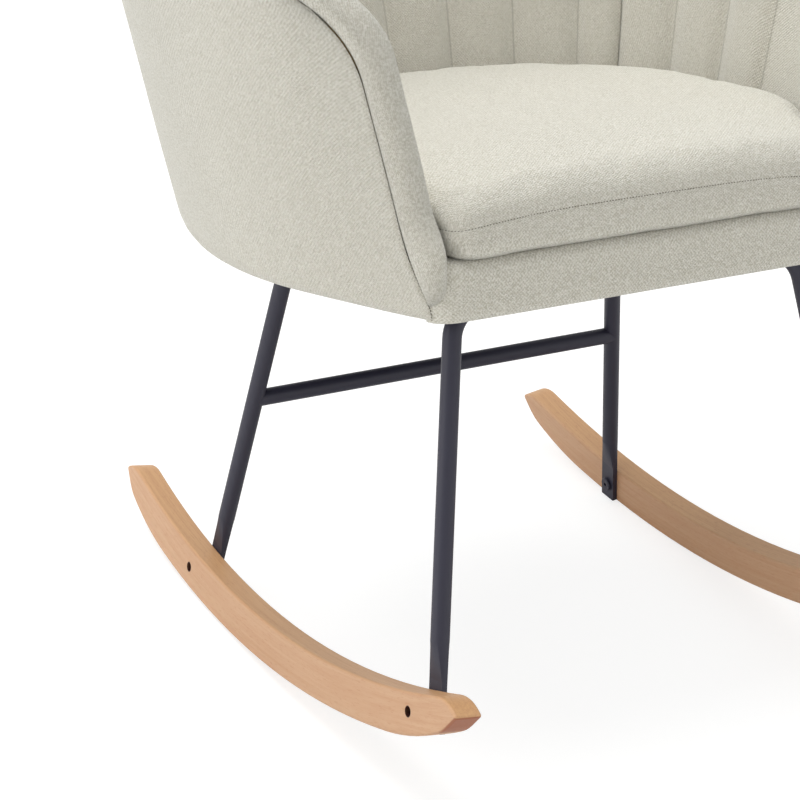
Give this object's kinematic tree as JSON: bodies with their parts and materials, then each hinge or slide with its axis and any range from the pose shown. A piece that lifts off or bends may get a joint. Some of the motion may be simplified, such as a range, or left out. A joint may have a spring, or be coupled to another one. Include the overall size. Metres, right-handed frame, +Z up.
{
  "type": "rocking chair",
  "caption": "Upholstered tub rocking chair with a channelled back, sloping arms and a loose seat cushion, on black tube legs over curved beech rockers.",
  "frame": {"origin": "on the floor, midway between the two lines where the rockers touch it, in the pose the empty chair comes to rest in", "axes": "+Z up, the chair faces -Y, +X to the right of someone looking at it from the front; x = 0 is its middle plane"},
  "size_m": [0.7324, 0.8184, 0.9294],
  "materials": {
    "beech": "satin",
    "black_steel": "matte",
    "zinc_steel": "satin",
    "frame_wood": "matte",
    "webbing": "matte",
    "dust_cloth": "matte",
    "linen_cloth": "matte"
  },
  "bodies": {
    "chair": {"left_rocker": "beech", "right_rocker": "beech", "front_leg_hoop": "black_steel", "rear_leg_hoop": "black_steel", "rear_stretcher": "black_steel", "front_left_mount_plate": "black_steel", "front_right_mount_plate": "black_steel", "rear_left_mount_plate": "black_steel", "rear_right_mount_plate": "black_steel", "rocker_bolts": "black_steel", "seat_bolts": "black_steel", "rocker_sleeve_nuts": "zinc_steel", "seat_insert_nuts": "zinc_steel", "front_rail": "frame_wood", "cross_rail": "frame_wood", "left_side_rail": "frame_wood", "right_side_rail": "frame_wood", "rear_rail": "frame_wood", "tacking_rail": "frame_wood", "left_side_core": "frame_wood", "right_side_core": "frame_wood", "back_core": "frame_wood", "lengthwise_webbing": "webbing", "crosswise_webbing": "webbing", "dust_cover": "dust_cloth", "left_side_cover": "linen_cloth", "right_side_cover": "linen_cloth", "back_cover": "linen_cloth", "left_arm_pad": "linen_cloth", "right_arm_pad": "linen_cloth", "back_pad": "linen_cloth", "left_arm_band": "linen_cloth", "right_arm_band": "linen_cloth", "back_rim_band": "linen_cloth", "apron": "linen_cloth"},
    "cushion": {"seat_cushion": "linen_cloth"}
  },
  "joints": [
    {"name": "cushion_lift", "type": "slide", "parent": "chair", "child": "cushion", "axis": [0, 0.0628, 0.998], "range_m": [0, 0.12]}
  ]
}
